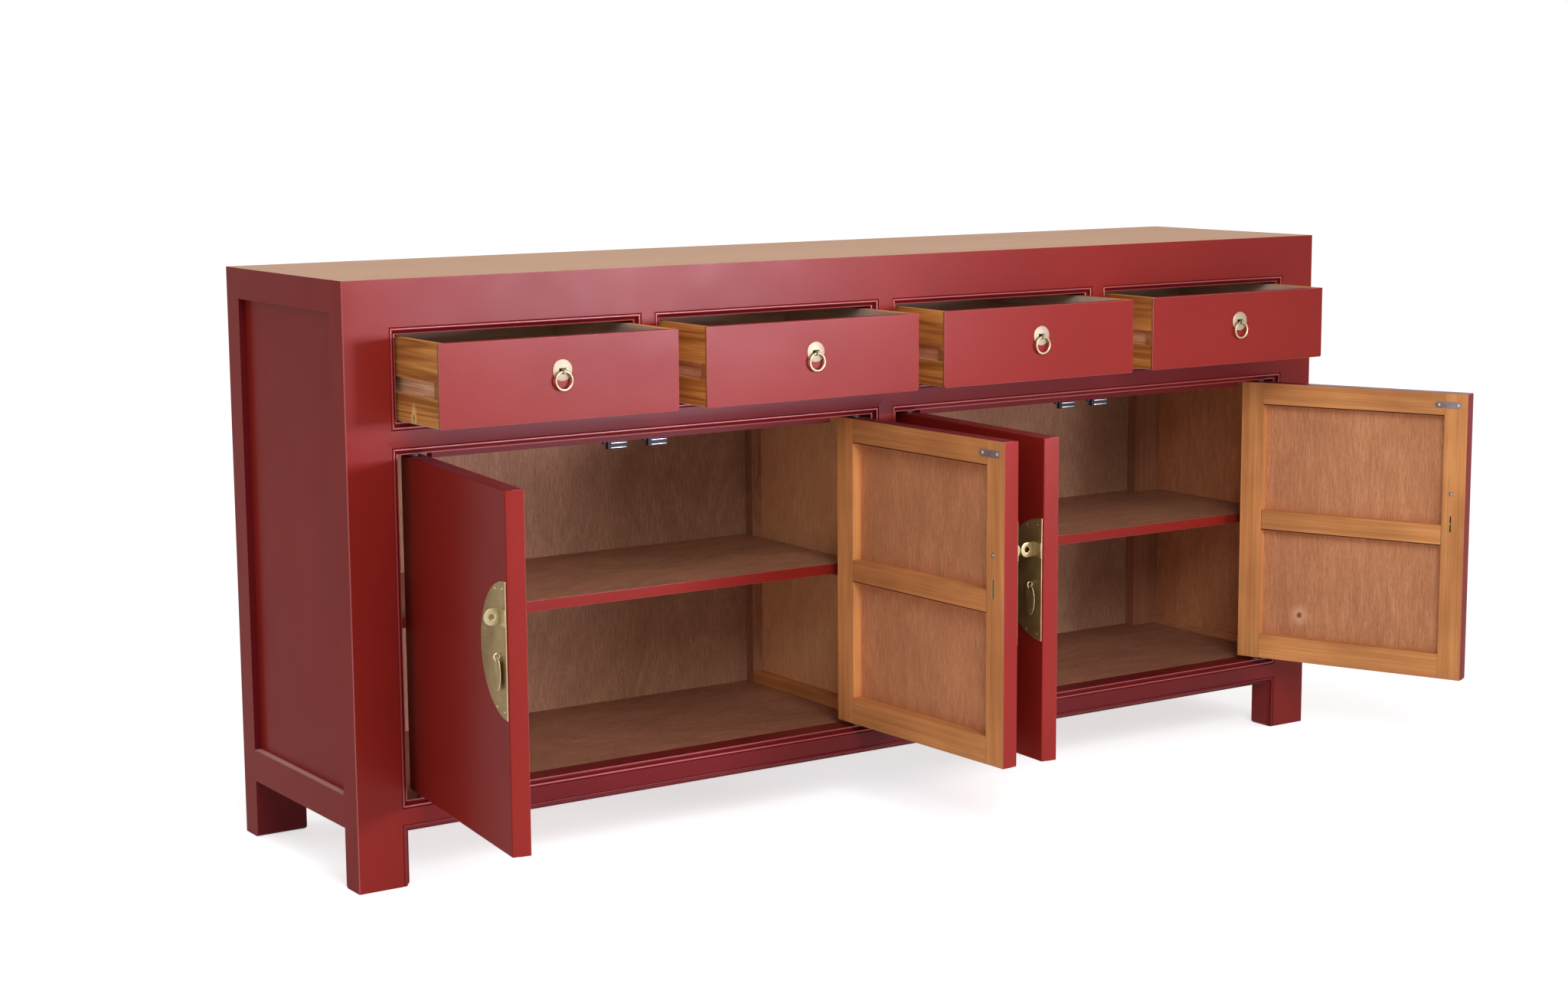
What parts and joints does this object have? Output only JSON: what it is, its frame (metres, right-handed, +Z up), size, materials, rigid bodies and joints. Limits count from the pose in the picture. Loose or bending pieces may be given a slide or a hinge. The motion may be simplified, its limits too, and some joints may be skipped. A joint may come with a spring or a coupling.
{
  "type": "sideboard",
  "caption": "Low lacquered frame-and-panel cabinet: a row of drawers over paired pivoted doors, a shelf in each bay, ring pulls and half-round lock plates; drawers slide and doors turn",
  "frame": {"origin": "on the floor, under the middle of the cabinet's footprint, legs included, drawers and doors left out", "axes": "+X to the right as seen from the front, +Y from the front to the back, +Z up"},
  "size_m": [1.8617, 0.7596, 0.85],
  "materials": {
    "red_lacquer": "satin lacquer",
    "top_wood": "satin",
    "inner_wood": "satin oiled",
    "aged_brass": "brushed, aged",
    "bright_brass": "polished",
    "steel": "satin",
    "catch_plastic": "matte"
  },
  "bodies": {
    "carcass": {"leg_front_left": "red_lacquer", "leg_front_right": "red_lacquer", "leg_back_left": "red_lacquer", "leg_back_right": "red_lacquer", "top_rail_front": "red_lacquer", "mid_rail_front": "red_lacquer", "bottom_rail_front": "red_lacquer", "centre_stile": "red_lacquer", "drawer_dividers": "red_lacquer", "side_rails": "red_lacquer", "side_panel_left": "red_lacquer", "side_panel_right": "red_lacquer", "back_rails": "inner_wood", "back_panel": "inner_wood", "top_panel": "top_wood", "floor_board": "inner_wood", "partition": "inner_wood", "shelves": "inner_wood", "shelf_bearers": "inner_wood", "drawer_guides": "inner_wood", "drawer_runners": "inner_wood", "door_stops": "red_lacquer", "catch_bodies": "catch_plastic", "catch_poles": "steel"},
    "drawer_1": {"drawer_1_front": "red_lacquer", "drawer_1_box": "inner_wood", "drawer_1_pull": "aged_brass"},
    "ring_1": {"drawer_1_ring": "bright_brass"},
    "drawer_2": {"drawer_2_front": "red_lacquer", "drawer_2_box": "inner_wood", "drawer_2_pull": "aged_brass"},
    "ring_2": {"drawer_2_ring": "bright_brass"},
    "drawer_3": {"drawer_3_front": "red_lacquer", "drawer_3_box": "inner_wood", "drawer_3_pull": "aged_brass"},
    "ring_3": {"drawer_3_ring": "bright_brass"},
    "drawer_4": {"drawer_4_front": "red_lacquer", "drawer_4_box": "inner_wood", "drawer_4_pull": "aged_brass"},
    "ring_4": {"drawer_4_ring": "bright_brass"},
    "door_1": {"door_1_frame": "inner_wood", "door_1_skin": "red_lacquer", "door_1_lock": "aged_brass", "door_1_fittings": "steel"},
    "leaf_1": {"door_1_leaf": "aged_brass"},
    "door_2": {"door_2_frame": "inner_wood", "door_2_skin": "red_lacquer", "door_2_lock": "aged_brass", "door_2_fittings": "steel"},
    "leaf_2": {"door_2_leaf": "aged_brass"},
    "door_3": {"door_3_frame": "inner_wood", "door_3_skin": "red_lacquer", "door_3_lock": "aged_brass", "door_3_fittings": "steel"},
    "leaf_3": {"door_3_leaf": "aged_brass"},
    "door_4": {"door_4_frame": "inner_wood", "door_4_skin": "red_lacquer", "door_4_lock": "aged_brass", "door_4_fittings": "steel"},
    "leaf_4": {"door_4_leaf": "aged_brass"}
  },
  "joints": [
    {"name": "drawer_1_slide", "type": "slide", "parent": "carcass", "child": "drawer_1", "axis": [0, -1, 0], "range_m": [-0.1225, 0.1275]},
    {"name": "ring_1_swing", "type": "hinge", "parent": "drawer_1", "child": "ring_1", "pos_m": [-0.6325, -0.3273, 0.7225], "axis": [-1, 0, 0], "range_deg": [0, 170]},
    {"name": "drawer_2_slide", "type": "slide", "parent": "carcass", "child": "drawer_2", "axis": [0, -1, 0], "range_m": [-0.1195, 0.1305]},
    {"name": "ring_2_swing", "type": "hinge", "parent": "drawer_2", "child": "ring_2", "pos_m": [-0.212, -0.3243, 0.7225], "axis": [-1, 0, 0], "range_deg": [0, 170]},
    {"name": "drawer_3_slide", "type": "slide", "parent": "carcass", "child": "drawer_3", "axis": [0, -1, 0], "range_m": [-0.115, 0.135]},
    {"name": "ring_3_swing", "type": "hinge", "parent": "drawer_3", "child": "ring_3", "pos_m": [0.212, -0.3198, 0.7225], "axis": [-1, 0, 0], "range_deg": [0, 170]},
    {"name": "drawer_4_slide", "type": "slide", "parent": "carcass", "child": "drawer_4", "axis": [0, -1, 0], "range_m": [-0.1075, 0.1425]},
    {"name": "ring_4_swing", "type": "hinge", "parent": "drawer_4", "child": "ring_4", "pos_m": [0.6325, -0.3123, 0.7225], "axis": [-1, 0, 0], "range_deg": [0, 170]},
    {"name": "door_1_pivot", "type": "hinge", "parent": "carcass", "child": "door_1", "pos_m": [-0.79395, -0.189, 0.122], "axis": [0, 0, -1], "range_deg": [-96.6, 38.4]},
    {"name": "leaf_1_swing", "type": "hinge", "parent": "door_1", "child": "leaf_1", "pos_m": [-0.85054, -0.53101, 0.389], "axis": [0.1149, 0.9934, 0], "range_deg": [0, 120]},
    {"name": "door_2_pivot", "type": "hinge", "parent": "carcass", "child": "door_2", "pos_m": [-0.05055, -0.189, 0.122], "axis": [0, 0, 1], "range_deg": [-92.1, 0]},
    {"name": "leaf_2_swing", "type": "hinge", "parent": "door_2", "child": "leaf_2", "pos_m": [-0.02097, -0.5344, 0.389], "axis": [0.0366, -0.9993, 0], "range_deg": [0, 20]},
    {"name": "door_3_pivot", "type": "hinge", "parent": "carcass", "child": "door_3", "pos_m": [0.05055, -0.189, 0.122], "axis": [0, 0, -1], "range_deg": [-93, 0]},
    {"name": "leaf_3_swing", "type": "hinge", "parent": "door_3", "child": "leaf_3", "pos_m": [0.01555, -0.53389, 0.389], "axis": [0.0523, 0.9986, 0], "range_deg": [0, 20]},
    {"name": "door_4_pivot", "type": "hinge", "parent": "carcass", "child": "door_4", "pos_m": [0.79395, -0.189, 0.122], "axis": [0, 0, 1], "range_deg": [-113, 22]},
    {"name": "leaf_4_swing", "type": "hinge", "parent": "door_4", "child": "leaf_4", "pos_m": [0.9448, -0.50112, 0.389], "axis": [0.3907, -0.9205, 0], "range_deg": [0, 120]}
  ]
}
